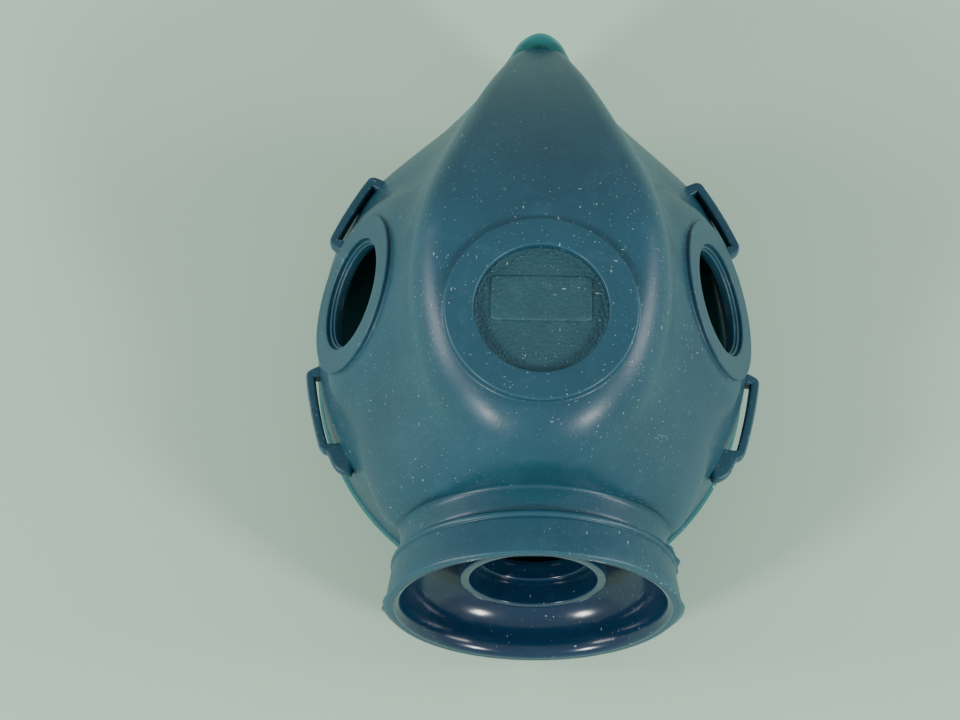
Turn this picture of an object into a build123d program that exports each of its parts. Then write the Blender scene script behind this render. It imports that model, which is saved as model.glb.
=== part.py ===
from build123d import *
import math
import os

# ---------------------------------------------------------------- dimensions, mm
# Frame: Z points away from the face, +Y towards the nose, X across the face.
# The half mask rests on its sealing rim at Z = 0.
BOSS_Y = -14.1          # centre of the round front boss
FRONT_Z = 78.0          # flat front of the panel
WALL = 2.5              # wall of the moulding

RIDGE_HALF = 31.3       # half width factor of the front panel outline
RIDGE_MID = 25.6        # outline centre, measured from the boss
RIDGE_LEN = 55.1
RIDGE_NOSE = 0.50       # rounding of the nose end of the outline
RIDGE_APEX = 87.0       # the straight flanks of the outline aim at this point of the middle line
RIDGE_TAPER = 0.41      # half width that they lose along the middle line
RIM_HALF = 49.0         # half width of the wall at the rim
RIM_MID = 15.0          # widest place, measured from the boss
RIM_UP = 65.3           # rim length towards the nose and towards the chin
RIM_DOWN = 53.4
RIM_TIP = 0.517         # bluntness of the nose end
TOP_R = 16.0            # flat disc in the middle of the panel
FALL_FROM = 18.0
ROUND_NOSE = 1.3        # rounding of the ridge at the nose and at the chin
ROUND_CHIN = 12.0
FALL = 0.055            # how fast the panel falls towards the nose
FALL_POW = 1.6
BULGE = 2.5             # how late the side swells towards the rim
BULGE_MIX = 0.75
UPRIGHT = 0.77          # the side is upright below this share of its height

SEAL_T = 1.6            # sealing lip
SEAL_OUT = 0.8          # flange outside the wall
SEAL_NOSE_OUT = 3.1     # flange outside the wall at the nose
RIM_FLAT_Y = BOSS_Y + 18.4   # rim is flat up to here and then lifts
RIM_R = 76.6            # radius of the lifting nose end

RING_R = 19.15
RING_BORE = 13.3
RING_Z = 79.2
DISC_Z = 77.4
PLATE = (20.0, 9.4, 0.35)
PLATE_Y = 2.5

PORT_X = 40.1
PORT_Y = 16.95
PORT_Z = 42.2
PORT_EL = 27.3          # lift of the port axis above the horizontal
PORT_AZ = 6.3           # turn of the port axis towards the nose
PAD_R = 17.75
PORT_SINK_R = 12.5
PORT_SINK = 0.9
PORT_BORE_R = 11.6
COLLAR_DEPTH = 3.6

BELL_Y = -50.6          # lip centre of the exhalation bell, from the boss
BELL_Z = 36.2
BELL_TILT = 8.6
LIP_R = 30.5
MOUTH_R = 27.0
REBATE_R = 27.7         # step inside the band that the bowl sits in
BAND_T = 9.8
BAND_BACK_R = 29.2
NECK_R = 28.0
NECK_IN_R = 25.5
BOWL_FROM = 5.0
BOWL_R = 27.4           # a little wider than the mouth
BOWL_DEPTH = 13.5
BOWL_BACK = 16.0
SEAT_R = 15.5
SEAT_BORE = 13.3
SEAT_FACE = 6.5
SEAT_STOP = 11.5        # depth where the seat narrows
SEAT_LIP_R = 11.4

BAR = 1.6               # strap loop outer bar
ARM = 2.6
LOOP_H = 3.8            # height of a loop
ROOT_R = 1.3            # rounded root of a loop, about its hinge line
CORNER_R = 1.2
UPPER_Z = 28.0          # hinge lines: two ends of the root and of the outer face, from the boss
UPPER_ROOT = ((44.8, 34.3), (36.9, 49.6))
UPPER_FACE = ((46.9, 33.9), (37.4, 51.4))
LOWER_Z = 19.0
LOWER_ROOT = ((49.5, 6.1), (44.2, -10.9))
LOWER_FACE = ((51.3, 7.0), (46.9, -12.8))
UPPER_TAIL = 0.0
LOWER_TAIL = 7.0        # gusset below the lower loops
LEVELS = [0.0, 0.4, 0.75, 1.0, 1.06, 1.12, 1.18, 1.24, 1.3, 1.38, 1.47, 1.57, 1.67, 1.78, 1.89, 2.0]
CHIN_CUT = -20.0        # joints between the shell panels, from the boss
NOSE_CUT = 52.0


def teardrop(inset, turn):
    """Point of the panel outline moved in by inset, its narrow end at +Y, turn in radians."""
    half = RIDGE_HALF - 0.96 * inset
    swell = math.sqrt(math.sin(turn / 2) ** 2 + RIDGE_NOSE ** 2) / math.sqrt(1 + RIDGE_NOSE ** 2)
    x = half * math.sin(turn) * swell
    y = RIDGE_MID - 0.04 * inset + (RIDGE_LEN - 1.2 * inset) * math.cos(turn)
    flank = (RIDGE_APEX - 2.64 * inset - y) * RIDGE_TAPER
    return x / (1 + (abs(x) / flank) ** 16) ** (1 / 16), y


def rim_outline(turn, inset):
    """Outline of the wall at the rim: an ellipse at the chin, blunt and narrower at the nose."""
    fold = abs(math.degrees(math.atan2(math.sin(turn), math.cos(turn))))
    step = min(max((fold - 27.0) / 38.0, 0.0), 1.0)
    width = RIM_TIP + (1 - RIM_TIP) * step * step * (3 - 2 * step)
    length = (RIM_UP if math.cos(turn) > 0 else RIM_DOWN) - 1.1 * inset
    return (RIM_HALF - inset) * math.sin(turn) * width, RIM_MID + length * math.cos(turn)


def fall(y):
    return FRONT_Z - FALL * max(y - FALL_FROM, 0.0) ** FALL_POW


def ridge(turn, inset):
    """Ridge point, its outward direction across the face and its rounding."""
    ax, ay = teardrop(inset, turn)
    x0, y0 = teardrop(inset, turn - 0.001)
    x1, y1 = teardrop(inset, turn + 0.001)
    run = math.hypot(x1 - x0, y1 - y0)
    soft = (ROUND_NOSE + (ROUND_CHIN - ROUND_NOSE) * ((1 - math.cos(turn)) / 2) ** 1.2) * (1 - 0.1 * inset)
    return ax, ay, (y0 - y1) / run, (x1 - x0) / run, soft


def shell_point(level, turn, inset):
    """Point of the shell; level 0 to 1 crosses the panel, 1 to 1.3 rounds the ridge, on to 2 down the side."""
    ax, ay, nx, ny, soft = ridge(turn, inset)
    bx, by = rim_outline(turn, inset)
    if level <= 1:
        angle = math.atan2(ax, ay)
        cx = TOP_R * math.sin(angle)
        cy = TOP_R * math.cos(angle)
        x = cx + (ax - soft * nx - cx) * level
        y = cy + (ay - soft * ny - cy) * level
        return x, y + BOSS_Y, fall(y) - inset
    if level <= 1.3:
        arc = (level - 1) / 0.3 * math.pi / 2
        corner = soft * (1 - math.sin(arc))
        drop = soft * (1 - math.cos(arc))
    else:
        corner = 0.0
        drop = soft + (fall(ay) - inset - soft) * (level - 1.3) / 0.7
    start = fall(ay - ny * corner) - inset
    share = min(drop / start, 1.0)
    late = math.sin(math.pi / 2 * min(share / UPRIGHT, 1.0)) ** BULGE
    run = BULGE_MIX * late + (1 - BULGE_MIX) * math.sin(math.pi / 2 * share)
    x = ax + (bx - ax) * run - nx * corner
    y = ay + (by - ay) * run - ny * corner
    return x, y + BOSS_Y, start - drop


def ring_edge(level, inset, drop):
    count = 44
    points = []
    for i in range(count):
        x, y, z = shell_point(level, 2 * math.pi * i / count, inset)
        points.append(Vector(x, y, z - drop))
    steps = [i / count for i in range(count + 1)]
    return Edge.make_spline(points, periodic=True, parameters=steps)


def dome(inset):
    """Everything inside the shell's surface moved in by inset, down to a little below the rim."""
    rings = [ring_edge(level, inset, 0.0) for level in LEVELS]
    rings.append(ring_edge(2.0, inset, 6.0))
    faces = [Face.make_surface_from_curves(upper, lower) for upper, lower in zip(rings, rings[1:])]
    faces += [Face(Wire([ring])) for ring in (rings[0], rings[-1])]
    body = Solid(Shell(faces))
    if body.volume < 0:
        body = Solid(Shell([-face for face in faces]))
    return body


def rim_rise(y):
    lift = max(y - RIM_FLAT_Y, 0.0)
    return RIM_R - math.sqrt(RIM_R ** 2 - lift ** 2)


def rim_band(low, high):
    """Everything between two copies of the rim surface, as wide as the mask."""
    ys = [-80.0, RIM_FLAT_Y] + [RIM_FLAT_Y + 70.0 * i / 10 for i in range(1, 11)]
    lower = [(y, rim_rise(y) + low) for y in ys]
    upper = [(y, rim_rise(y) + high) for y in ys]
    path = [Edge.make_line((0, *lower[0]), (0, *lower[1]))]
    path.append(Edge.make_spline([Vector(0, *p) for p in lower[1:]], tangents=[(0, 1, 0), (0, 1, 1.96)]))
    path.append(Edge.make_line((0, *lower[-1]), (0, *upper[-1])))
    path.append(Edge.make_spline([Vector(0, *p) for p in upper[1:]], tangents=[(0, 1, 0), (0, 1, 1.96)]))
    path.append(Edge.make_line((0, *upper[1]), (0, *upper[0])))
    path.append(Edge.make_line((0, *upper[0]), (0, *lower[0])))
    face = Face(Wire(path))
    return Solid.extrude(face, Vector(160, 0, 0)).moved(Location((-80, 0, 0)))


def outline_prism(points, low, high):
    count = len(points)
    steps = [i / count for i in range(count + 1)]
    edge = Edge.make_spline([Vector(x, y, low) for x, y in points], periodic=True, parameters=steps)
    return Solid.extrude(Face(Wire([edge])), Vector(0, 0, high - low))


def slab(x0, x1, y0, y1, z0, z1):
    return Solid.make_box(x1 - x0, y1 - y0, z1 - z0).moved(Location((x0, y0, z0)))


def rod(radius, plane, start, end):
    """Cylinder along a plane's axis from start to end."""
    return Solid.make_cylinder(radius, end - start, plane.offset(start))


def tube(outer, inner, plane, start, end):
    return rod(outer, plane, start, end) - rod(inner, plane, start - 1, end + 1)


def spin(profile, plane):
    """Closed profile of (radius, depth) points turned about the plane's axis."""
    points = [plane.from_local_coords(Vector(r, 0, -d)) for r, d in profile]
    wire = Wire.make_polygon(points, close=True)
    return Solid.revolve(Face(wire), 360, Axis(plane.origin, plane.z_dir))


def save(name, shape):
    bodies = shape.solids()
    body = max(bodies, key=lambda item: item.volume)
    body.label = name
    export_step(body, os.path.join("parts", name + ".step"))
    print(name, len(bodies), round(body.volume, 1))


os.makedirs("parts", exist_ok=True)

# ---------------------------------------------------------------- datum planes
boss = Plane((0, BOSS_Y, 0))
tilt = math.radians(BELL_TILT)
bell = Plane((0, BELL_Y + BOSS_Y, BELL_Z), x_dir=(1, 0, 0), z_dir=(0, -math.cos(tilt), math.sin(tilt)))


def port_plane(side):
    lift = math.radians(PORT_EL)
    turn = math.radians(PORT_AZ)
    axis = (side * math.cos(lift) * math.cos(turn), math.cos(lift) * math.sin(turn), math.sin(lift))
    return Plane((side * PORT_X, PORT_Y + BOSS_Y, PORT_Z), z_dir=axis)


sides = {"left": -1, "right": 1}
ports = {name: port_plane(side) for name, side in sides.items()}

# ---------------------------------------------------------------- shell of the mask
outer = dome(0.0)
inner = dome(WALL)
above_rim = rim_band(SEAL_T, 140.0)
shell = (outer - inner) & above_rim
shell -= rod(RING_BORE, boss, 60, 90)
shell -= rod(NECK_R, bell, -40, 5)
for name in sides:
    shell -= rod(PORT_SINK_R, ports[name], -14, 6)

panel_outline = [teardrop(1.0, 2 * math.pi * i / 44) for i in range(44)]
panel_core = outline_prism([(x, y + BOSS_Y) for x, y in panel_outline], 40, 90)
nose_end = slab(-80, 80, NOSE_CUT + BOSS_Y, 120, -20, 120)
chin_end = slab(-80, 80, -120, CHIN_CUT + BOSS_Y, -20, 120)
middle = slab(-80, 80, CHIN_CUT + BOSS_Y, NOSE_CUT + BOSS_Y, -20, 120)
save("nose_bridge", shell & nose_end)
front = (shell & panel_core) - nose_end
save("front_panel", front)
save("chin_wall", (shell & chin_end) - panel_core)
flank = (shell & middle) - panel_core
save("left_cheek", flank & slab(-80, 0, -120, 120, -20, 120))
save("right_cheek", flank & slab(0, 80, -120, 120, -20, 120))

# ---------------------------------------------------------------- sealing lip


def lip_outline(grow, nose_grow, turn):
    x, y = rim_outline(turn, 0.0)
    near = max(math.cos(turn), 0.0) ** 6
    reach = math.hypot(x, y - RIM_MID)
    out = grow + (nose_grow - grow) * near
    return x + out * x / reach, y + out * (y - RIM_MID) / reach + BOSS_Y


def opening_outline(turn):
    """Pear shaped opening for the face, with a notch for the nose."""
    half = 31.0 + 4.0 * math.cos(2 * turn)
    x = half * math.sin(turn) * math.sqrt(math.sin(turn / 2) ** 2 + 0.05) ** 0.35
    y = 14.0 + 41.0 * math.cos(turn)
    return x, y + BOSS_Y


lip_points = [lip_outline(SEAL_OUT, SEAL_NOSE_OUT, 2 * math.pi * i / 48) for i in range(48)]
open_points = [opening_outline(2 * math.pi * i / 48) for i in range(48)]
lip = rim_band(0.0, SEAL_T) & outline_prism(lip_points, -10, 90)
lip -= outline_prism(open_points, -20, 120)
save("nose_seal", lip & nose_end)
save("chin_seal", lip & chin_end)
lip_middle = lip & middle
save("left_seal", lip_middle & slab(-80, 0, -120, 120, -20, 120))
save("right_seal", lip_middle & slab(0, 80, -120, 120, -20, 120))

# ---------------------------------------------------------------- front boss
ring = tube(RING_R, RING_BORE, boss, FRONT_Z - 3, RING_Z) - outer
save("front_ring", ring)
save("front_disc", rod(RING_BORE, boss, FRONT_Z - WALL, DISC_Z))
plate = slab(-PLATE[0] / 2, PLATE[0] / 2, -PLATE[1] / 2, PLATE[1] / 2, DISC_Z, DISC_Z + PLATE[2])
save("label_plate", plate.moved(Location((0, BOSS_Y + PLATE_Y, 0))))

# ---------------------------------------------------------------- connector ports
for name, plane in ports.items():
    pad = tube(PAD_R, PORT_SINK_R, plane, -14, 0) - outer
    save(name + "_port_pad", pad)
    save(name + "_port_collar", tube(PORT_SINK_R, PORT_BORE_R, plane, -COLLAR_DEPTH, -PORT_SINK))

# ---------------------------------------------------------------- exhalation outlet
neck = tube(NECK_R, NECK_IN_R, bell, -45, -BAND_T) - inner
neck = neck & slab(-80, 80, -120, 20, -20, 120)
save("exhalation_neck", neck)
band = [(MOUTH_R, 0), (LIP_R, 0), (BAND_BACK_R, BAND_T), (REBATE_R, BAND_T), (REBATE_R, BOWL_FROM),
        (MOUTH_R, BOWL_FROM)]
save("exhalation_band", spin(band, bell))
curve = []
for i in range(13):
    angle = math.pi / 2 * i / 12
    r = SEAT_R + (BOWL_R - SEAT_R) * math.cos(angle)
    curve.append((r, BOWL_FROM + (BOWL_DEPTH - BOWL_FROM) * math.sin(angle)))
bowl_back = [(SEAT_R, BOWL_BACK), (NECK_IN_R, BOWL_BACK), (NECK_IN_R, BAND_T), (REBATE_R, BAND_T),
             (REBATE_R, BOWL_FROM)]
save("exhalation_bowl", spin(curve + bowl_back, bell))
save("valve_seat_ring", tube(SEAT_R, SEAT_BORE, bell, -SEAT_STOP, -SEAT_FACE))
save("valve_seat_lip", tube(SEAT_R, SEAT_LIP_R, bell, -BOWL_BACK, -SEAT_STOP))

# ---------------------------------------------------------------- strap loops


def strap_loop(root, face, height, tail):
    """C shaped loop of the right side; its root is round about the hinge line."""
    (x0, y0), (x1, y1) = root
    length = math.hypot(x1 - x0, y1 - y0)
    ux = (x1 - x0) / length
    uy = (y1 - y0) / length
    nx = abs(uy)
    ny = -ux * math.copysign(1.0, uy)
    half = ARM / 2

    def at(end, along, out):
        px, py = root[end]
        return px + ux * along + nx * out, py + uy * along + ny * out + BOSS_Y

    def reach(end):
        return (face[end][0] - root[end][0]) * nx + (face[end][1] - root[end][1]) * ny

    corners = [(px, py + BOSS_Y) for px, py in face]
    outline = [at(0, -half, -ROOT_R), corners[0], corners[1]]
    if tail:
        outline.append(at(1, half + tail, 0.4))
    outline.append(at(1, half + tail, -ROOT_R))
    slot = [at(0, half, -8), at(0, half, reach(0) - BAR), at(1, -half, reach(1) - BAR), at(1, -half, -8)]
    low = height - LOOP_H / 2
    plan = [Wire.make_polygon([(px, py, low) for px, py in ring], close=True) for ring in (outline, slot)]
    body, hole = [Solid.extrude(Face(wire), Vector(0, 0, LOOP_H)) for wire in plan]
    tall = [edge for edge in body.edges() if abs(edge.tangent_at(0.5).Z) > 0.9]
    far = [edge for edge in tall if min(math.dist(tuple(edge.center())[:2], c) for c in corners) < 0.1]
    body = body.fillet(CORNER_R, far) - hole
    start = at(0, -12, 0)
    line = Plane((start[0], start[1], height), x_dir=(nx, ny, 0), z_dir=(ux, uy, 0))
    side_view = [(0, -ROOT_R), (1.2, -LOOP_H / 2), (12, -LOOP_H / 2), (12, LOOP_H / 2), (1.2, LOOP_H / 2),
                 (0, ROOT_R)]
    wire = Wire.make_polygon([line.from_local_coords(Vector(a, b, 0)) for a, b in side_view], close=True)
    wedge = Solid.extrude(Face(wire), Vector(ux, uy, 0) * 50)
    return body & (wedge + Solid.make_cylinder(ROOT_R, 50, line))


loops = {
    "upper": strap_loop(UPPER_ROOT, UPPER_FACE, UPPER_Z, UPPER_TAIL),
    "lower": strap_loop(LOWER_ROOT, LOWER_FACE, LOWER_Z, LOWER_TAIL),
}
for name, body in loops.items():
    save(name + "_right_strap_loop", body)
    save(name + "_left_strap_loop", body.mirror(Plane.YZ))
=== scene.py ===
"""Looks of the half mask facepiece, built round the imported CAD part. Shapes are worked out in millimetres."""
import math
import bmesh
import bpy
from mathutils import Matrix, Vector, noise
from mathutils.bvhtree import BVHTree


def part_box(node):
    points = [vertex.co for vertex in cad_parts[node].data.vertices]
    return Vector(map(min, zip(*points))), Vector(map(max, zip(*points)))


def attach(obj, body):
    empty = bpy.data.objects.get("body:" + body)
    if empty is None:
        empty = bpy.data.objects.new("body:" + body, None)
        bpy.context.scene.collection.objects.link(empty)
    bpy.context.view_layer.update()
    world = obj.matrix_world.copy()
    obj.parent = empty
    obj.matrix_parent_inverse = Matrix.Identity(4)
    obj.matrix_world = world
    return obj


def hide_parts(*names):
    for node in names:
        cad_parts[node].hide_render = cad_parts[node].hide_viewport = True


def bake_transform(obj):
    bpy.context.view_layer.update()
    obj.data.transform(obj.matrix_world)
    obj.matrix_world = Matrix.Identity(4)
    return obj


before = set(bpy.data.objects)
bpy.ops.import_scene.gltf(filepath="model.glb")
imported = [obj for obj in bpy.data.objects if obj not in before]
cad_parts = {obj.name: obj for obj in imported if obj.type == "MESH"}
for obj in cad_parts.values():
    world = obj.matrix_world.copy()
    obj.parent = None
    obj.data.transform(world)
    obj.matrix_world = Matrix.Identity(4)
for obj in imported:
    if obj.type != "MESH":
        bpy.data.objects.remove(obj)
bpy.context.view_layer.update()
MM = 0.001


# ------------------------------------------------------------------ driving sizes in mm, as in the CAD
BOSS_Y, FRONT_Z, WALL = -14.1, 78.0, 2.5                # outlines are measured in Y from the boss
RIDGE_HALF, RIDGE_MID, RIDGE_LEN = 31.3, 25.6, 55.1     # outline of the front panel
RIDGE_NOSE, RIDGE_APEX, RIDGE_TAPER = 0.50, 87.0, 0.41
RIM_HALF, RIM_MID, RIM_UP, RIM_DOWN, RIM_TIP = 49.0, 15.0, 65.3, 53.4, 0.517
RIM_FLAT_Y, RIM_R = 4.3, 76.6                           # where the rim lifts off the ground, on which radius
TOP_R = 16.0                                            # flat middle of the panel
FALL_FROM, FALL, FALL_POW = 18.0, 0.055, 1.6            # the panel falls towards the nose
ROUND_NOSE, ROUND_CHIN = 1.3, 12.0                      # rounding of the ridge
BULGE, BULGE_MIX, UPRIGHT = 2.5, 0.75, 0.77             # how late the cheeks swing out
RING_Z, RING_R, RING_BORE = 79.2, 19.15, 13.3           # front boss
DISC_Z, DISC_UNDER, PLATE_Z = 77.4, 75.5, 77.74         # its disc and the blank plate on it
PORT_X, PORT_Y, PORT_Z = 40.1, 16.95, 42.2              # cheek port: middle of its pad
PORT_EL, PORT_AZ = 27.3, 6.3                            # lift of its axis, and its turn towards the nose
PAD_R, SINK_R, BORE_R = 17.75, 12.5, 11.6               # its pad, recess and bore
BELL_Y, BELL_Z, BELL_TILT = -50.6, 36.2, 8.6            # outlet: middle of its lip, and its tilt
LIP_R, REBATE_R, MOUTH_R = 30.5, 27.7, 27.0             # its outer edge, the step for the bowl and the mouth
NECK_R, NECK_IN_R, BAND_T = 28.0, 25.5, 9.8
BOWL_FROM, BOWL_DEPTH, BOWL_BACK = 5.0, 13.5, 16.0      # depths behind the lip
SEAT_R, SEAT_BORE, SEAT_FACE, SEAT_STOP = 15.5, 13.3, 6.5, 11.5
SEAT_LIP_R = 11.4


# ------------------------------------------------------------------ sizes of the looks alone
NOSE_LEAN, NOSE_FULL = 0.7, 0.5     # the soft nose end leans to one side and is fuller by this share
PAD_STEP, PAD_SPREAD = 1.1, 10.0    # how proud the port pads stand, and how wide the swelling round them is
SHOULDER = 15.5                     # depth behind the outlet's lip where the moulding meets the neck
SHOULDER_R, SHOULDER_SPREAD = 28.5, 13.5    # the shoulders die away from this radius, over this width
LIP_OUT, LIP_NOSE_OUT = 0.8, 2.3    # sealing lip past the wall all round, and the extra at the nose
SIDES = (("left", -1), ("right", 1))
COLS = 240                          # columns of the skin
TOP_ROWS, RIDGE_ROWS, SIDE_ROWS, LIP_ROWS = 14, 9, 34, 14   # its rows: panel, rounded ridge, side, lip
OUTER_ROWS = TOP_ROWS + RIDGE_ROWS + SIDE_ROWS


# ------------------------------------------------------------------ shape of the shell
def ease(t):
    """Smooth step from 0 to 1."""
    t = min(max(t, 0.0), 1.0)
    return t * t * (3 - 2 * t)


def teardrop(inset, turn):
    """Outline of the front panel moved in by inset."""
    belly = math.sqrt(math.sin(turn / 2) ** 2 + RIDGE_NOSE ** 2) / math.sqrt(1 + RIDGE_NOSE ** 2)
    x = (RIDGE_HALF - 0.96 * inset) * math.sin(turn) * belly
    y = RIDGE_MID - 0.04 * inset + (RIDGE_LEN - 1.2 * inset) * math.cos(turn)
    flank = (RIDGE_APEX - 2.64 * inset - y) * RIDGE_TAPER
    return x / (1 + (abs(x) / flank) ** 16) ** (1 / 16), y


def rim_outline(turn, inset):
    """Outline that the wall reaches at the ground, moved in by inset."""
    fold = abs(math.degrees(math.atan2(math.sin(turn), math.cos(turn))))
    width = RIM_TIP + (1 - RIM_TIP) * ease((fold - 27.0) / 38.0)
    length = (RIM_UP if math.cos(turn) > 0 else RIM_DOWN) - 1.1 * inset
    return (RIM_HALF - inset) * math.sin(turn) * width, RIM_MID + length * math.cos(turn)


def fall(y):
    """Height of the front panel."""
    return FRONT_Z - FALL * max(y - FALL_FROM, 0.0) ** FALL_POW


def ridge(turn, inset):
    """Point of the panel's outline, its outward direction and the size of its rounding."""
    ax, ay = teardrop(inset, turn)
    x0, y0 = teardrop(inset, turn - 0.001)
    x1, y1 = teardrop(inset, turn + 0.001)
    run = math.hypot(x1 - x0, y1 - y0)
    soft = (ROUND_NOSE + (ROUND_CHIN - ROUND_NOSE) * ((1 - math.cos(turn)) / 2) ** 1.2) * (1 - 0.1 * inset)
    return ax, ay, (y0 - y1) / run, (x1 - x0) / run, soft


def shell_point(level, turn, inset):
    """0 to 1 crosses the front panel, 1 to 1.3 rounds the ridge, on to 2 down the side."""
    ax, ay, nx, ny, soft = ridge(turn, inset)
    bx, by = rim_outline(turn, inset)
    if level <= 1:
        angle = math.atan2(ax, ay)
        cx, cy = TOP_R * math.sin(angle), TOP_R * math.cos(angle)
        x = cx + (ax - soft * nx - cx) * level
        y = cy + (ay - soft * ny - cy) * level
        return x, y + BOSS_Y, fall(y) - inset
    if level <= 1.3:
        arc = (level - 1) / 0.3 * math.pi / 2
        back, drop = soft * (1 - math.sin(arc)), soft * (1 - math.cos(arc))
    else:
        back, drop = 0.0, soft + (fall(ay) - inset - soft) * (level - 1.3) / 0.7
    start = fall(ay - ny * back) - inset
    share = min(drop / start, 1.0)
    late = math.sin(math.pi / 2 * min(share / UPRIGHT, 1.0)) ** BULGE
    run = BULGE_MIX * late + (1 - BULGE_MIX) * math.sin(math.pi / 2 * share)
    return ax + (bx - ax) * run - nx * back, ay + (by - ay) * run - ny * back + BOSS_Y, start - drop


def lean(point):
    """Fills out the soft nose end and leans it a little."""
    x, y, z = point
    t = max((y - BOSS_Y - 40.0) / 42.0, 0.0)
    return x * (1 + NOSE_FULL * min(t, 1.0) ** 2.2) + NOSE_LEAN * t * t, y, z


def rim(y):
    """Height of the rim over the ground."""
    lift = max(y - RIM_FLAT_Y, 0.0)
    return RIM_R - math.sqrt(RIM_R ** 2 - min(lift, 70.0) ** 2)


def opening(turn):
    """Edge of the turned-in sealing lip."""
    pinch = math.sqrt(math.sin(turn / 2) ** 2 + 0.05) ** 0.35
    return (31.0 + 4.0 * math.cos(2 * turn)) * math.sin(turn) * pinch, 14.0 + 41.0 * math.cos(turn) + BOSS_Y


# ------------------------------------------------------------------ mesh helpers
def mesh_object(name, points, faces):
    """Smooth mesh object from points in mm."""
    data = bpy.data.meshes.new(name)
    data.from_pydata([Vector(p) * MM for p in points], [], faces)
    data.validate()
    data.polygons.foreach_set("use_smooth", [True] * len(data.polygons))
    obj = bpy.data.objects.new(name, data)
    bpy.context.scene.collection.objects.link(obj)
    return obj


def grid_faces(rows, cols, close_rows=True):
    """Faces of a tube of points, closed round each row and, if asked, from the last row to the first."""
    faces = []
    for r in range(rows if close_rows else rows - 1):
        for c in range(cols):
            a, b = r * cols + c, r * cols + (c + 1) % cols
            d, e = ((r + 1) % rows) * cols + c, ((r + 1) % rows) * cols + (c + 1) % cols
            faces.append((a, b, e, d))
    return faces


def outward(obj):
    """Turns every face outwards and shades it smooth."""
    bm = bmesh.new()
    bm.from_mesh(obj.data)
    bmesh.ops.recalc_face_normals(bm, faces=bm.faces)
    bm.to_mesh(obj.data)
    bm.free()
    obj.data.polygons.foreach_set("use_smooth", [True] * len(obj.data.polygons))
    return obj


class Turned:
    """A round piece's own axis: depth is counted inwards from the origin."""

    def __init__(self, origin, axis):
        self.o, self.a = Vector(origin), Vector(axis).normalized()
        self.u = Vector((1, 0, 0)) - self.a * self.a.x
        self.u.normalize()
        self.v = self.a.cross(self.u)

    def at(self, r, depth, phi):
        """Point at radius r, depth and angle phi round the axis."""
        return self.o - self.a * depth + (self.u * math.cos(phi) + self.v * math.sin(phi)) * r

    def hit(self, tree, r, phi, start=-6.0):
        """Depth at which a line along the axis meets a surface, or None."""
        found = tree.ray_cast(self.at(r, start, phi) * MM, -self.a)
        return (found[3] / MM + start) if found[0] else None

    def away(self, p):
        """Radius and depth of a point."""
        d = Vector(p) - self.o
        along = d.dot(self.a)
        return (d - self.a * along).length, -along


def turned_ring(name, where, rows, count=128):
    """Closed ring. Each row is (radius, depth), or a function of the angle phi that gives it."""
    points = []
    for row in rows:
        for i in range(count):
            phi = 2 * math.pi * i / count
            r, d = row(phi) if callable(row) else row
            points.append(where.at(r, d, phi))
    return outward(mesh_object(name, points, grid_faces(len(rows), count)))


def bend(a, b, c, t):
    """Point of a quadratic curve."""
    return (1 - t) ** 2 * a + 2 * t * (1 - t) * b + t * t * c


def corner(p, q, r, steps=4):
    """Rounded corner: points of the curve from p by way of q to r."""
    return [tuple(bend(a, b, c, i / steps) for a, b, c in zip(p, q, r)) for i in range(steps + 1)]


# ------------------------------------------------------------------ skin: wall and sealing lip in one surface
def rim_level(turn, inset, over):
    """Level at which the wall comes down to this height over the rim."""
    lo, hi = 1.3, 2.0
    for _ in range(30):
        mid = (lo + hi) / 2
        x, y, z = shell_point(mid, turn, inset)
        if z > rim(y) + over:
            lo = mid
        else:
            hi = mid
    return lo


def skin_column(turn):
    """One column: down the outside, round the lip, in under the face and up the inside."""
    top = [i / (TOP_ROWS - 1) for i in range(TOP_ROWS)]
    top += [1 + 0.3 * i / RIDGE_ROWS for i in range(1, RIDGE_ROWS + 1)]
    steps = [i / SIDE_ROWS for i in range(1, SIDE_ROWS + 1)]
    end = rim_level(turn, 0.0, 2.3)
    inner_end = rim_level(turn, WALL, 3.0)
    rows = [shell_point(v, turn, 0.0) for v in top]
    rows += [shell_point(1.3 + (end - 1.3) * t, turn, 0.0) for t in steps]
    x, y, _ = rows[-1]
    cx, cy = x, y - (RIM_MID + BOSS_Y)
    reach = math.hypot(cx, cy)
    ox, oy = cx / reach, cy / reach
    out = LIP_OUT + LIP_NOSE_OUT * max(math.cos(turn), 0.0) ** 6
    edge = ((0.25, 1.75), (0.55, 1.5), (0.85, 1.35), (1.0, 1.0), (1.02, 0.65), (0.9, 0.2), (0.6, 0.0))
    for step, over in edge:
        rows.append((x + ox * out * step, y + oy * out * step, rim(y + oy * out * step) + over))
    ex, ey = opening(turn)
    for i in range(1, LIP_ROWS + 1):
        s = i / LIP_ROWS
        px, py = x + (ex - x) * s, y + (ey - y) * s
        rows.append((px, py, rim(py) + 2.6 * s ** 2))
    rows.append((ex + (ex - x) * 0.008, ey + (ey - y) * 0.008, rim(ey) + 3.1))
    ix, iy, _ = shell_point(inner_end, turn, WALL)
    for i in range(LIP_ROWS + 1):
        s = 1 - i / LIP_ROWS
        px, py = ix + (ex - ix) * s, iy + (ey - iy) * s
        thick = 1.0 + 0.8 * (1 - s)
        rows.append((px, py, rim(py) + 2.6 * s ** 2 + thick))
    rows += [shell_point(1.3 + (inner_end - 1.3) * t, turn, WALL) for t in reversed(steps)]
    rows += [shell_point(v, turn, WALL) for v in reversed(top)]
    return rows


def port_axis(side):
    """Axis of a cheek port, square to its pad; side is -1 or 1."""
    lift, ahead = math.radians(PORT_EL), math.radians(PORT_AZ)
    way = (side * math.cos(lift) * math.cos(ahead), math.cos(lift) * math.sin(ahead), math.sin(lift))
    return Turned((side * PORT_X, PORT_Y + BOSS_Y, PORT_Z), way)


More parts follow.
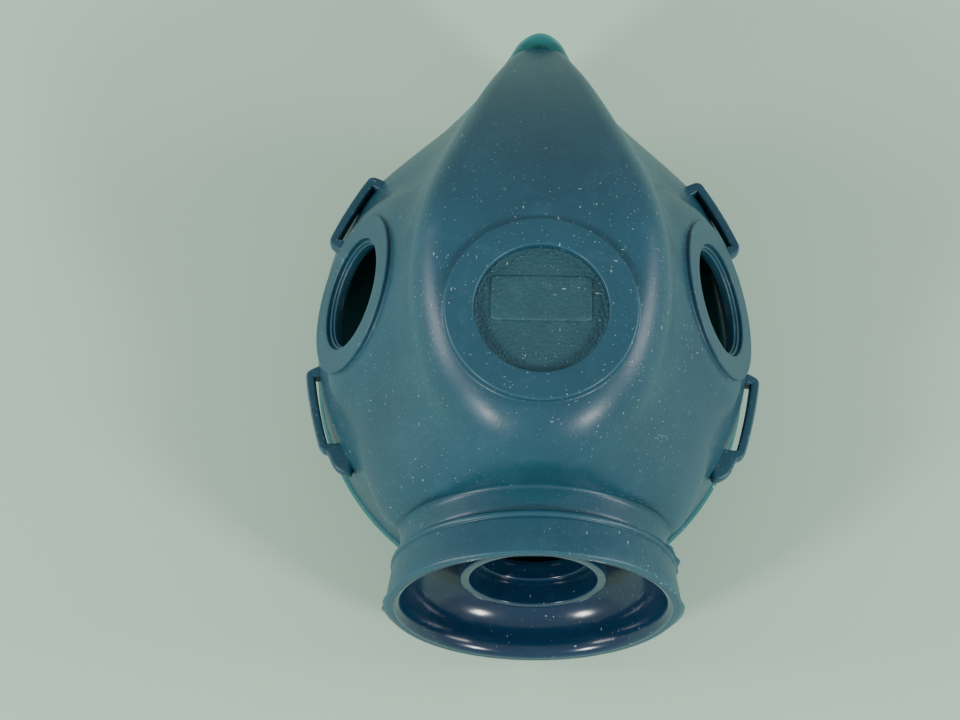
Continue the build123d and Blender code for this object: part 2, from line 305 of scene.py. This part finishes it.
ports = {name: port_axis(s) for name, s in SIDES}
tilt = math.radians(BELL_TILT)
bell = Turned((0, BELL_Y + BOSS_Y, BELL_Z), (0, -math.cos(tilt), math.sin(tilt)))


def swell(point):
    """Brings the outer surface up to just below the port pads and fills the shoulders of the outlet."""
    for where in ports.values():
        r, depth = where.away(point)
        if r < PAD_R + PAD_SPREAD and PAD_STEP < depth < 14:
            gain = (1 - ease((r - PAD_R) / PAD_SPREAD)) * ease((point[2] - 26.0) / 8.0)
            point = tuple(Vector(point) + where.a * (depth - PAD_STEP) * gain)
    r, depth = bell.away(point)
    if r < SHOULDER_R + SHOULDER_SPREAD and SHOULDER < depth < 50:
        gain = (1 - ease((r - SHOULDER_R) / SHOULDER_SPREAD)) * ease((point[2] - BELL_Z + 14.0) / 16.0)
        point = tuple(Vector(point) + bell.a * (depth - SHOULDER) * gain)
    return point


columns = [[lean(point) for point in skin_column(2 * math.pi * c / COLS)] for c in range(COLS)]
ROWS = len(columns[0])
INNER_FROM = ROWS - OUTER_ROWS
columns = [[swell(point) for point in column[:OUTER_ROWS]] + column[OUTER_ROWS:] for column in columns]
skin_points = [columns[c][r] for r in range(ROWS) for c in range(COLS)]
outer_tree = BVHTree.FromPolygons([Vector(p) * MM for p in skin_points[:OUTER_ROWS * COLS]],
                                  grid_faces(OUTER_ROWS, COLS, False))
inner_tree = BVHTree.FromPolygons([Vector(p) * MM for p in skin_points[INNER_FROM * COLS:]],
                                  grid_faces(OUTER_ROWS, COLS, False))


def in_hole(p, port_r):
    """Whether the skin is cut away here, for the outlet or a port."""
    r, d = bell.away(p)
    if r < NECK_IN_R + 1.2 and 0 < d < 45 and p[2] > 4.5:
        return True
    return any(r < port_r and -6 < d < 14 for r, d in [where.away(p) for where in ports.values()])


skin_faces = []
# faces of the sealing lip, which get the lip colour with painted green light shining through the thin lip
lip_faces_painted_green_light = []
for f in grid_faces(ROWS, COLS):
    mid = [sum(skin_points[i][k] for i in f) / 4 for k in range(3)]
    row = f[0] // COLS
    if not in_hole(mid, SINK_R + (2.5 if row < OUTER_ROWS else 1.1)):
        skin_faces.append(f)
        lip_faces_painted_green_light.append(OUTER_ROWS <= row < INNER_FROM)
skin = outward(mesh_object("mask_skin", skin_points, skin_faces))
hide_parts("nose_bridge", "front_panel", "left_cheek", "right_cheek", "chin_wall",
            "nose_seal", "left_seal", "right_seal", "chin_seal")

pieces = [(skin, "silicone_wall")]


# ------------------------------------------------------------------ rings moulded onto the wall
def smooth_turns(values):
    """Fills the gaps and evens out a ring of depths."""
    known = [v for v in values if v is not None]
    values = [v if v is not None else sum(known) / len(known) for v in values]
    n = len(values)
    return [(values[i - 1] + 2 * values[i] + values[(i + 1) % n]) / 4 for i in range(n)]


def cast_ring(where, tree, radii, start=-6.0):
    """Depths of a surface along a ring with the given radii."""
    count = len(radii)
    return smooth_turns([where.hit(tree, r, 2 * math.pi * i / count, start) for i, r in enumerate(radii)])


def rooted_ring(name, where, face_rows, root_r, small, inner_r, count=160,
                inner_fillet=0.8, sink=0.5, side_fillet=0.0):
    """A ring moulded onto the wall: its side flares onto the outer surface, its bore onto the inner one."""
    fillets = [small + side_fillet * abs(math.cos(2 * math.pi * i / count)) ** 3 for i in range(count)]
    root = cast_ring(where, outer_tree, [root_r] * count)
    flare = cast_ring(where, outer_tree, [root_r + fillet for fillet in fillets])
    back = cast_ring(where, inner_tree, [inner_r] * count, 0.0)
    back2 = cast_ring(where, inner_tree, [inner_r + inner_fillet] * count, 0.0)
    columns = []
    last_d = face_rows[-1][1]
    for i, fillet in enumerate(fillets):
        phi = 2 * math.pi * i / count
        column = list(face_rows)
        f = min(fillet, max(root[i] - last_d - 0.15, 0.1))
        near = root[i] - f
        for s in range(1, 4):
            column.append((root_r, last_d + (near - last_d) * s / 3))
        for s in range(1, 9):
            t = s / 8
            r = bend(root_r, root_r, root_r + fillet, t)
            column.append((r, bend(near, root[i], flare[i], t) + 0.02 * t))
        column.append((root_r + fillet * 1.1, flare[i] + sink))
        column.append((inner_r + inner_fillet * 1.2, back2[i] - sink))
        for s in range(7):
            t = s / 6
            r = bend(inner_r + inner_fillet, inner_r, inner_r, t)
            column.append((r, bend(back2[i], back[i], back[i] - inner_fillet, t)))
        columns.append([where.at(r, d, phi) for r, d in column])
    points = [point for row in zip(*columns) for point in row]
    return outward(mesh_object(name, points, grid_faces(len(columns[0]), count)))


# ------------------------------------------------------------------ cheek ports
def off(base, *rows):
    """Rows of a profile whose radii are counted from a base radius."""
    return [(base + r, depth) for r, depth in rows]


for side, where in ports.items():
    face = off(SINK_R, (0.0, 1.3), (0.0, 0.45), *corner((0.0, 0.3), (0.0, 0.0), (0.3, 0.0), 3))
    face += off(SINK_R, (1.4, -0.02), (2.7, 0.0))
    face += off(PAD_R, (-0.85, 0.0), *corner((-0.35, 0.0), (0.0, 0.0), (0.0, 0.35)))
    pad = rooted_ring(side + "_port_pad_skin", where, face, PAD_R, 0.35, SINK_R, inner_fillet=2.0)
    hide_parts(side + "_port_pad")
    step = off(BORE_R, (1.4, 1.2), (0.95, 1.0), (0.7, 0.92), *corner((0.4, 0.9), (0.15, 0.9), (0.15, 1.2), 3))
    step += off(BORE_R, (0.18, 1.5), (0.05, 1.6), *corner((0.0, 1.6), (-0.15, 1.6), (-0.15, 1.9), 3))
    step += off(BORE_R, (-0.1, 2.6), (-0.05, 3.2), (0.3, 3.6), (0.7, 3.6), (1.2, 3.2), (1.4, 2.4))
    collar = turned_ring(side + "_port_collar_skin", where, step, 128)
    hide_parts(side + "_port_collar")
    pieces += [(pad, "silicone_wall"), (collar, "silicone_wall")]


# ------------------------------------------------------------------ exhalation outlet
def ragged(phi, size, seed):
    """Uneven edge, about size high."""
    p = Vector((math.cos(phi) * 9, math.sin(phi) * 9, seed))
    return size * (0.55 + 0.9 * noise.noise(p) + 0.5 * noise.noise(p * 3.1))


def flash(phi):
    """Torn flash along the band's back edge, longest on the right hand side."""
    return 0.10 + 1.3 * max(0.0, math.cos(phi - 0.15)) ** 8


def back_flash(phi):
    """Outer part of the flash behind the band."""
    return flash(phi) * (0.5 + ragged(phi, 0.5, 5.0))


def lip_flash(phi):
    """Torn flash at the two ends of the mouth."""
    return 0.55 * max(0.0, abs(math.cos(phi))) ** 30


def neck_skin():
    """Neck between the shell and the band."""
    face = [(NECK_IN_R, 17.0), (NECK_IN_R, 10.5), (26.8, 9.6), (NECK_R, 9.6)]
    return rooted_ring("exhalation_neck_skin", bell, face, NECK_R, 0.9, NECK_IN_R, 192,
                       inner_fillet=1.5, sink=0.6, side_fillet=1.5)


def band_skin():
    """Rolled band round the mouth: step inside, lip, outside with its bead and the torn back edge."""
    out, back = LIP_R - 0.05, BAND_T
    rows = off(REBATE_R, (0.0, 9.6), (0.0, 6.0), (-0.1, 3.0))
    rows += off(REBATE_R, *corner((-0.1, 1.6), (-0.1, 0.5), (0.9, 0.16), 6))
    rows += off(REBATE_R, (1.4, 0.01), (1.9, 0.0), (2.4, 0.03))
    rows += [lambda phi: (out - 0.15 + lip_flash(phi) * 0.5 + ragged(phi, 0.05, 8.0), 0.12),
             lambda phi: (out + lip_flash(phi) * (1.0 + ragged(phi, 1.0, 9.0)), 0.35),
             lambda phi: (out + lip_flash(phi) * 0.4, 0.62)]
    rows += off(out, (-0.03, 2.2), (-0.25, 3.8), (-0.50, 5.4), (-0.67, 6.6), (-0.79, 7.5))
    rows += off(out, (-0.83, 7.9), (-1.03, 8.05), (-1.05, 8.2), (-0.83, 8.32))
    rows += off(out, *corner((-0.70, 8.4), (-0.45, 8.9), (-0.75, 9.35), 5))
    rows += [lambda phi: (out - 0.95 + ragged(phi, 0.08, 2.0), back - 0.35),
             lambda phi: (out - 1.05 + back_flash(phi), back - 0.25),
             lambda phi: (out - 1.15 + back_flash(phi), back - 0.12),
             lambda phi: (out - 1.45 + ragged(phi, 0.06, 2.0), back)]
    rows += off(NECK_R, (0.6, back + 0.05), (0.0, back))
    return turned_ring("exhalation_band_skin", bell, rows, 256)


def bowl_skin():
    """Glossy bowl inside the mouth, down to its floor round the valve seat."""
    rows = corner((MOUTH_R + 2.0, 0.0), (MOUTH_R + 0.5, 0.0), (MOUTH_R + 0.1, 2.4), 8)
    rows += off(MOUTH_R, (0.0, 3.0), (-0.02, 4.0))
    inner = SEAT_R - 0.2
    for i in range(19):
        a = math.pi / 2 * i / 18
        radius = inner + (MOUTH_R - 0.04 - inner) * math.cos(a) ** 0.9
        rows.append((radius, BOWL_FROM + (BOWL_DEPTH - BOWL_FROM) * math.sin(a) ** 1.05))
    rows += off(SEAT_R, (-0.5, BOWL_BACK - 1.4), (-0.5, BOWL_BACK), (3.5, BOWL_BACK + 0.2))
    rows += off(MOUTH_R, (-2.0, BOWL_BACK), (-1.1, 13.0), (-0.2, 10.2), (0.6, 9.5))
    rows += off(REBATE_R, (-0.04, 3.0), (0.1, 1.4), (0.9, 0.4))
    return turned_ring("exhalation_bowl_skin", bell, rows, 192)


def seat_skin():
    """Raised ring of the valve seat."""
    out, top = SEAT_R - 0.15, SEAT_FACE
    rows = off(out, (0.1, 14.5), (0.05, 12.0), (0.0, 9.0))
    rows += off(out, *corner((0.0, top + 0.4), (0.0, top), (-0.35, top)), (-1.05, top - 0.04))
    rows += off(SEAT_BORE, *corner((0.4, top), (0.0, top), (0.0, top + 0.4)))
    rows += off(SEAT_BORE, (0.0, 9.0), (0.0, 11.0), (0.0, 12.4), (0.9, 14.0))
    return turned_ring("valve_seat_ring_skin", bell, rows, 144)


def seat_lip_skin():
    """Thin lip deep in the seat, with a slightly uneven edge."""
    stop = SEAT_STOP
    rows = off(SEAT_LIP_R, (2.2, stop + 0.1), (1.2, stop))
    rows += off(SEAT_LIP_R, *corner((0.4, stop), (0.0, stop), (0.0, stop + 0.4)))
    rows += [lambda phi: (SEAT_LIP_R + ragged(phi, 0.06, 4.0), stop + 0.5)]
    rows += off(SEAT_LIP_R, (0.0, 14.0), (0.05, 15.6), (0.8, 16.0), (3.2, 15.9), (3.5, 15.0), (3.5, 12.6))
    return turned_ring("valve_seat_lip_skin", bell, rows, 128)


neck = neck_skin()
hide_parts("exhalation_neck")
band = band_skin()
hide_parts("exhalation_band")
bowl = bowl_skin()
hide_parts("exhalation_bowl")
seat = seat_skin()
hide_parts("valve_seat_ring")
seat_lip = seat_lip_skin()
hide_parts("valve_seat_lip")
pieces += [(neck, "silicone_wall"), (band, "silicone_wall")]
pieces += [(bowl, "silicone_gloss"), (seat, "silicone_gloss"), (seat_lip, "silicone_gloss")]


# ------------------------------------------------------------------ front boss
def ring_skin():
    """Raised ring of the boss."""
    boss = Turned((0, BOSS_Y, RING_Z), (0, 0, 1))
    face = off(RING_BORE, (0.0, 4.0), (0.0, 2.2), (0.0, 1.0), *corner((0.0, 0.5), (0.0, 0.0), (0.5, 0.0)))
    face += off(RING_BORE, (1.7, -0.03), (2.9, -0.04), (4.3, -0.02))
    face += off(RING_R, *corner((-0.65, 0.0), (0.0, 0.0), (0.0, 0.5), 5))
    return rooted_ring("front_ring_skin", boss, face, RING_R, 0.6, 16.5, 192, inner_fillet=0.5)


def disc_skin():
    """Disc in the ring, its edge turned up a little."""
    around, under = 144, (RING_BORE + 0.05, 6.0)
    radii = [0.6 * i for i in range(1, 22)] + [RING_BORE - 0.3, RING_BORE + 0.05]
    levels = [(r, DISC_Z + 0.25 * max(0.0, r - (RING_BORE - 0.9)) ** 2) for r in radii]
    levels += [(r, DISC_UNDER) for r in under]
    points = [(0, BOSS_Y, DISC_Z)]
    for r, z in levels:
        for i in range(around):
            a = 2 * math.pi * i / around
            points.append((r * math.cos(a), r * math.sin(a) + BOSS_Y, z))
    points.append((0, BOSS_Y, DISC_UNDER))
    last = 1 + (len(levels) - 1) * around
    faces = [(0, 1 + i, 1 + (i + 1) % around) for i in range(around)]
    faces += [tuple(1 + v for v in f) for f in grid_faces(len(levels), around, False)]
    faces += [(last + i, last + (i + 1) % around, len(points) - 1) for i in range(around)]
    return outward(mesh_object("front_disc_skin", points, faces))


def rounded(middle, half_w, half_h, r, z, count):
    """Outline of a rectangle with round corners."""
    out = []
    for i in range(count):
        a = 2 * math.pi * (i + 0.5) / count
        ca, sa = math.cos(a), math.sin(a)
        k = 1 / max(abs(ca) / half_w, abs(sa) / half_h)
        x, y = ca * k, sa * k
        dx, dy = max(abs(x) - (half_w - r), 0), max(abs(y) - (half_h - r), 0)
        if dx and dy:
            d = math.hypot(dx, dy)
            x = math.copysign(half_w - r + dx / d * r, x)
            y = math.copysign(half_h - r + dy / d * r, y)
        out.append((x + middle[0], y + middle[1], z))
    return out


def plate_skin():
    """Blank plate on the disc, as large as the CAD's, with rounded edges."""
    around = 96
    lo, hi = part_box("label_plate")
    middle = ((lo.x + hi.x) / 2 / MM, (lo.y + hi.y) / 2 / MM)
    half_w, half_h = (hi.x - lo.x) / 2 / MM, (hi.y - lo.y) / 2 / MM
    levels = ((0.0, 77.0), (0.0, 77.5), (0.08, 77.68), (0.3, 77.75), (1.2, PLATE_Z), (3.4, PLATE_Z))
    rows = [rounded(middle, half_w - inset, half_h - inset, 0.8, z, around) for inset, z in levels]
    points = [p for row in rows for p in row] + [(*middle, PLATE_Z)]
    top = (len(rows) - 1) * around
    faces = grid_faces(len(rows), around, False)
    faces += [(top + i, top + (i + 1) % around, len(points) - 1) for i in range(around)]
    faces.append(tuple(range(around - 1, -1, -1)))
    return outward(mesh_object("label_plate_skin", points, faces))


ring = ring_skin()
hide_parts("front_ring")
disc = disc_skin()
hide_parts("front_disc")
plate = plate_skin()
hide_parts("label_plate")
pieces += [(ring, "silicone_wall"), (disc, "silicone_grained"), (plate, "silicone_grained")]


# ------------------------------------------------------------------ strap loops
LOOPS = {               # ends of the root and of the outer face from the boss, height, gusset
    "upper": (((44.8, 34.3), (36.9, 49.6)), ((46.9, 33.9), (37.4, 51.4)), 28.0, 0.0),
    "lower": (((49.5, 6.1), (44.2, -10.9)), ((51.3, 7.0), (46.9, -12.8)), 19.0, 7.0),
}


def side_of(way):
    """Level direction square to this one, pointing away from the shell on the right hand side."""
    return Vector((abs(way.y), -way.x * math.copysign(1.0, way.y), 0))


def loop_path(root, face, height, tail):
    """Middle line of a loop on the right hand side: (point, half width, half height) from root to root."""
    h0, h1, f0, f1 = [Vector((x, y + BOSS_Y, height)) for x, y in (*root, *face)]
    u, along = (h1 - h0).normalized(), (f1 - f0).normalized()
    n, out = side_of(u), side_of(along)
    m0, m1 = f0 + along * 1.1 - out * 1.05, f1 - along * 1.1 - out * 1.05
    a0, a1 = h0 - n * 0.4, h1 - n * 0.4
    path = [(h0 - n * s, 1.3, 2.1) for s in (3.6, 2.4, 1.4)]
    path += [(a0, 1.15, 1.95)]
    for t in (0.0, 0.3, 0.55, 0.8, 1.0):
        path.append((bend(a0.lerp(m0, 0.5), m0, m0.lerp(m1, 0.09), t), 0.95 + 0.1 * t, 1.9))
    for t in (0.25, 0.4, 0.55, 0.7, 0.82):
        path.append((m0.lerp(m1, t) + out * 0.3 * math.sin(math.pi * t), 1.05, 1.9))
    for t in (0.0, 0.2, 0.45, 0.7, 1.0):
        path.append((bend(m1.lerp(m0, 0.09), m1, m1.lerp(a1, 0.5), t), 1.05, 1.9))
    grow = tail * 0.5
    path += [(a1 + u * grow * 0.35, 1.15 + grow * 0.35, 1.9)]
    for s, k in ((1.4, 0.65), (2.4, 0.85), (4.2, 1.0)):
        path.append((h1 - n * s + u * grow * k, 1.3 + grow * k, 1.8))
    return path, (h0 + h1) / 2 - n * 1.7, (h0 + h1) / 2 + n * 0.6


def smooth_shape(obj):
    """Rounds the mesh off and keeps the result as plain mesh."""
    mod = obj.modifiers.new("smooth", "SUBSURF")
    mod.levels = mod.render_levels = 2
    seen = obj.evaluated_get(bpy.context.evaluated_depsgraph_get())
    obj.data = bpy.data.meshes.new_from_object(seen)
    obj.modifiers.clear()
    obj.data.polygons.foreach_set("use_smooth", [True] * len(obj.data.polygons))
    return obj


def loop_mesh(name, side, *sizes):
    """One strap loop, with two points by its root."""
    path, *hinge = loop_path(*sizes)
    around, points = 16, []
    for i, (p, half_w, half_h) in enumerate(path):
        before, after = path[max(i - 1, 0)][0], path[min(i + 1, len(path) - 1)][0]
        wide = (after - before).normalized().cross(Vector((0, 0, 1))).normalized()
        for k in range(around):
            a = 2 * math.pi * (k + 0.5) / around
            ca, sa = math.cos(a), math.sin(a)
            q = p + math.copysign(abs(ca) ** 0.35, ca) * half_w * wide
            q.z += math.copysign(abs(sa) ** 0.35, sa) * half_h
            points.append((q.x * side, q.y, q.z))
    base = (len(path) - 1) * around
    faces = grid_faces(len(path), around, False)
    faces.append(tuple(range(around)))
    faces.append(tuple(range(base + around - 1, base - 1, -1)))
    obj = smooth_shape(outward(mesh_object(name, points, faces)))
    return obj, [Vector((v.x * side, v.y, v.z)) * MM for v in hinge]


for level, sizes in LOOPS.items():
    for side, s in SIDES:
        obj, (start, end) = loop_mesh(f"{level}_{side}_strap_loop_skin", s, *sizes)
        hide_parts(f"{level}_{side}_strap_loop")
        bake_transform(obj)
        pieces.append((obj, "silicone_wall"))


# ------------------------------------------------------------------ materials
DUST_LAYERS = (         # scale, size, share of bare cells, stretch, turn
    (720, 0.10, 0.40, (1, 1, 1), 0.0), (1500, 0.12, 0.45, (1, 1, 1), 0.0), (260, 0.07, 0.45, (1, 1, 1), 0.0),
    (640, 0.10, 0.70, (1.0, 0.34, 0.8), 0.6), (600, 0.10, 0.72, (0.34, 1.0, 0.8), 1.9),
    (900, 0.13, 0.35, (1, 1, 1), 0.8),
)
DUST_COLOUR = (0.55, 0.66, 0.60)


def silicone(name, colour, dark, rough, coat, grain, dust):
    """Moulded silicone: clouded colour, dusty specks, paler worn edges and a fine grain."""
    mat = bpy.data.materials.new(name)
    mat.use_nodes = True
    nt = mat.node_tree
    nodes, links = nt.nodes, nt.links
    bsdf = nodes["Principled BSDF"]
    bsdf.inputs["IOR"].default_value = 1.43
    bsdf.inputs["Specular IOR Level"].default_value = 0.34
    bsdf.inputs["Coat Weight"].default_value = coat
    bsdf.inputs["Coat Roughness"].default_value = 0.22
    where = nodes.new("ShaderNodeTexCoord").outputs["Object"]

    def tex(kind, scale, **inputs):
        """Texture node in the object's own space."""
        node = nodes.new(kind)
        links.new(where, node.inputs["Vector"])
        node.inputs["Scale"].default_value = scale
        for key, value in inputs.items():
            node.inputs[key.replace("_", " ")].default_value = value
        return node

    def ramp(source, *stops):
        """Colour ramp with stops of (position, value)."""
        node = nodes.new("ShaderNodeValToRGB")
        links.new(source, node.inputs["Fac"])
        while len(node.color_ramp.elements) < len(stops):
            node.color_ramp.elements.new(0.5)
        for element, (pos, value) in zip(node.color_ramp.elements, stops):
            element.position = pos
            element.color = (*value, 1) if isinstance(value, tuple) else (value, value, value, 1)
        return node.outputs["Color"]

    def math_node(op, a, b, clamp=False):
        """Result of a sum of two values or sockets."""
        node = nodes.new("ShaderNodeMath")
        node.operation = op
        node.use_clamp = clamp
        for i, v in enumerate((a, b)):
            if isinstance(v, (int, float)):
                node.inputs[i].default_value = v
            else:
                links.new(v, node.inputs[i])
        return node.outputs[0]

    def mix(fac, a, b):
        """Colour between two colours or sockets."""
        node = nodes.new("ShaderNodeMix")
        node.data_type = "RGBA"
        links.new(fac, node.inputs["Factor"])
        for key, v in (("A", a), ("B", b)):
            socket = [s for s in node.inputs if s.name == key and s.type == "RGBA"][0]
            if isinstance(v, tuple):
                socket.default_value = (*v, 1)
            else:
                links.new(v, socket)
        return [s for s in node.outputs if s.type == "RGBA"][0]

    cloud = tex("ShaderNodeTexNoise", 28, Detail=4.0, Roughness=0.6)
    base = mix(ramp(cloud.outputs["Fac"], (0.32, 0.0), (0.68, 1.0)), dark, colour)
    smear = tex("ShaderNodeTexNoise", 95, Detail=6.0, Roughness=0.72, Distortion=1.4)
    film = ramp(smear.outputs["Fac"], (0.50, 0.0), (0.74, 1.0))
    base = mix(math_node("MULTIPLY", film, 0.10), base, tuple(min(1.0, c * 2.2 + 0.03) for c in colour))
    specks = None
    for scale, size, bare, stretch, turn in DUST_LAYERS:
        cell = tex("ShaderNodeTexVoronoi", scale, Randomness=1.0)
        mapping = nodes.new("ShaderNodeMapping")
        mapping.inputs["Scale"].default_value = stretch
        mapping.inputs["Rotation"].default_value = (0.3 * turn, 0.2 * turn, turn)
        links.new(where, mapping.inputs["Vector"])
        links.new(mapping.outputs["Vector"], cell.inputs["Vector"])
        dot = ramp(cell.outputs["Distance"], (size * 0.5, 1.0), (size, 0.0))
        split = nodes.new("ShaderNodeSeparateColor")
        links.new(cell.outputs["Color"], split.inputs["Color"])
        picked = math_node("GREATER_THAN", split.outputs[0], 1 - (1 - bare) * dust)
        bright = math_node("ADD", math_node("MULTIPLY", split.outputs[1], 0.8), 0.2)
        spot = math_node("MULTIPLY", math_node("MULTIPLY", dot, picked), bright)
        specks = spot if specks is None else math_node("MAXIMUM", specks, spot)
    patch = tex("ShaderNodeTexNoise", 38, Detail=3.0)
    specks = math_node("MULTIPLY", specks, ramp(patch.outputs["Fac"], (0.38, 0.15), (0.62, 1.0)))
    base = mix(math_node("MULTIPLY", specks, 0.75), base, DUST_COLOUR)
    edge = nodes.new("ShaderNodeNewGeometry").outputs["Pointiness"]
    worn = ramp(edge, (0.515, 0.0), (0.60, 1.0))
    base = mix(math_node("MULTIPLY", worn, 0.30), base, tuple(min(1.0, c * 3 + 0.02) for c in colour))
    links.new(base, bsdf.inputs["Base Color"])
    fine = tex("ShaderNodeTexNoise", 620, Detail=3.0, Roughness=0.6)
    r = math_node("ADD", math_node("MULTIPLY", film, 0.10), rough)
    r = math_node("ADD", r, math_node("MULTIPLY", fine.outputs["Fac"], 0.06))
    r = math_node("ADD", r, math_node("MULTIPLY", specks, 0.3), True)
    links.new(r, bsdf.inputs["Roughness"])
    height = math_node("MULTIPLY", tex("ShaderNodeTexNoise", 1500, Detail=2.0).outputs["Fac"], grain)
    height = math_node("ADD", height, math_node("MULTIPLY", cloud.outputs["Fac"], 0.35))
    height = math_node("ADD", height, math_node("MULTIPLY", specks, 0.35))
    bump = nodes.new("ShaderNodeBump")
    bump.inputs["Strength"].default_value = 0.55
    bump.inputs["Distance"].default_value = 0.0002
    links.new(height, bump.inputs["Height"])
    links.new(bump.outputs["Normal"], bsdf.inputs["Normal"])
    return mat


SILICONES = {           # colour, darker colour, roughness, coat, grain, dust
    "silicone_wall": ((0.014, 0.064, 0.092), (0.011, 0.048, 0.072), 0.33, 0.06, 0.25, 1.0),
    # the lip's lighter, greener colour is painted light: green floor light shining through the thin sealing lip
    "silicone_lip": ((0.018, 0.125, 0.115), (0.013, 0.092, 0.092), 0.36, 0.06, 0.25, 0.8),
    "silicone_gloss": ((0.004, 0.027, 0.060), (0.003, 0.020, 0.047), 0.10, 0.5, 0.06, 0.5),
    "silicone_grained": ((0.018, 0.066, 0.084), (0.012, 0.048, 0.064), 0.46, 0.0, 3.0, 1.0),
}
materials = {name: silicone(name, *looks) for name, looks in SILICONES.items()}
for obj, slot in pieces:
    obj.data.materials.clear()
    obj.data.materials.append(materials[slot])
    # the sealing lip's faces get the lip colour, whose green tint is painted light
    if obj is skin:
        obj.data.materials.append(materials["silicone_lip"])
        obj.data.polygons.foreach_set("material_index", [int(v) for v in lip_faces_painted_green_light])
    if "strap_loop" not in obj.name:
        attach(obj, "facepiece")


# ------------------------------------------------------------------ floor, light and camera, places in m
FLOOR_HALF, FLOOR_COLOUR = 2.5, (0.36, 0.52, 0.40, 1)
WORLD_COLOUR, WORLD_LIGHT = (0.92, 0.97, 1.0, 1), 0.62
LAMPS = (               # name, distance to the side, Y and Z, aimed at this height, size, power, colour
    ("lamp", 0.68, -0.56, 0.60, 0.03, 0.17, 7.0, (1.0, 0.97, 0.95)),
    ("side", 0.90, 0.06, 0.42, 0.05, 0.36, 5.5, (1.0, 0.96, 0.97)),
)
CAM_UP, CAM_ROLL = 70.05, 0.97                      # elevation and roll of the camera
CAM_SHIFT, CAM_LIFT, CAM_BACK = -11.87, 16.45, 465.5    # its place in mm, from the boss on the ground
CAM_LENS = 75.0


def floor_piece():
    """Plain floor under the mask."""
    half = FLOOR_HALF
    data = bpy.data.meshes.new("floor")
    corners = [(-half, -half, 0), (half, -half, 0), (half, half, 0), (-half, half, 0)]
    data.from_pydata(corners, [], [(0, 1, 2, 3)])
    obj = bpy.data.objects.new("floor", data)
    bpy.context.scene.collection.objects.link(obj)
    mat = bpy.data.materials.new("floor")
    mat.use_nodes = True
    bsdf = mat.node_tree.nodes["Principled BSDF"]
    bsdf.inputs["Base Color"].default_value = FLOOR_COLOUR
    bsdf.inputs["Roughness"].default_value = 0.85
    data.materials.append(mat)
    return obj


def lamp(name, where, target, width, power, tint):
    """Square lamp at one place, aimed at another."""
    data = bpy.data.lights.new(name, "AREA")
    data.shape, data.size, data.energy, data.color = "SQUARE", width, power, tint
    obj = bpy.data.objects.new(name, data)
    bpy.context.scene.collection.objects.link(obj)
    obj.location = where
    obj.rotation_mode = "QUATERNION"
    obj.rotation_quaternion = (Vector(target) - Vector(where)).to_track_quat("-Z", "Y")


def camera():
    """Camera that sees the mask as the photograph does."""
    up_angle, roll = math.radians(CAM_UP), math.radians(CAM_ROLL)
    across = Vector((1, 0, 0))
    up = Vector((0, math.sin(up_angle), math.cos(up_angle)))
    back = Vector((0, -math.cos(up_angle), math.sin(up_angle)))
    right = across * math.cos(roll) + up * math.sin(roll)
    high = up * math.cos(roll) - across * math.sin(roll)
    data = bpy.data.cameras.new("camera")
    data.lens, data.sensor_width = CAM_LENS, 36.0
    data.clip_start, data.clip_end = 0.01, 20
    obj = bpy.data.objects.new("camera", data)
    bpy.context.scene.collection.objects.link(obj)
    obj.matrix_world = Matrix((right, high, back)).transposed().to_4x4()
    obj.location = (across * CAM_SHIFT + up * CAM_LIFT + back * CAM_BACK + Vector((0, BOSS_Y, 0))) * MM
    return obj


floor_piece()
for name, aside, y, z, aim, width, power, tint in LAMPS:
    for side, s in SIDES:
        lamp(f"{name}_{side}", (s * aside, y, z), (0, 0, aim), width, power, tint)
world = bpy.data.worlds.new("studio")
world.use_nodes = True
world.node_tree.nodes["Background"].inputs["Color"].default_value = WORLD_COLOUR
world.node_tree.nodes["Background"].inputs["Strength"].default_value = WORLD_LIGHT
bpy.context.scene.world = world
bpy.context.scene.camera = camera()

bpy.context.view_layer.update()
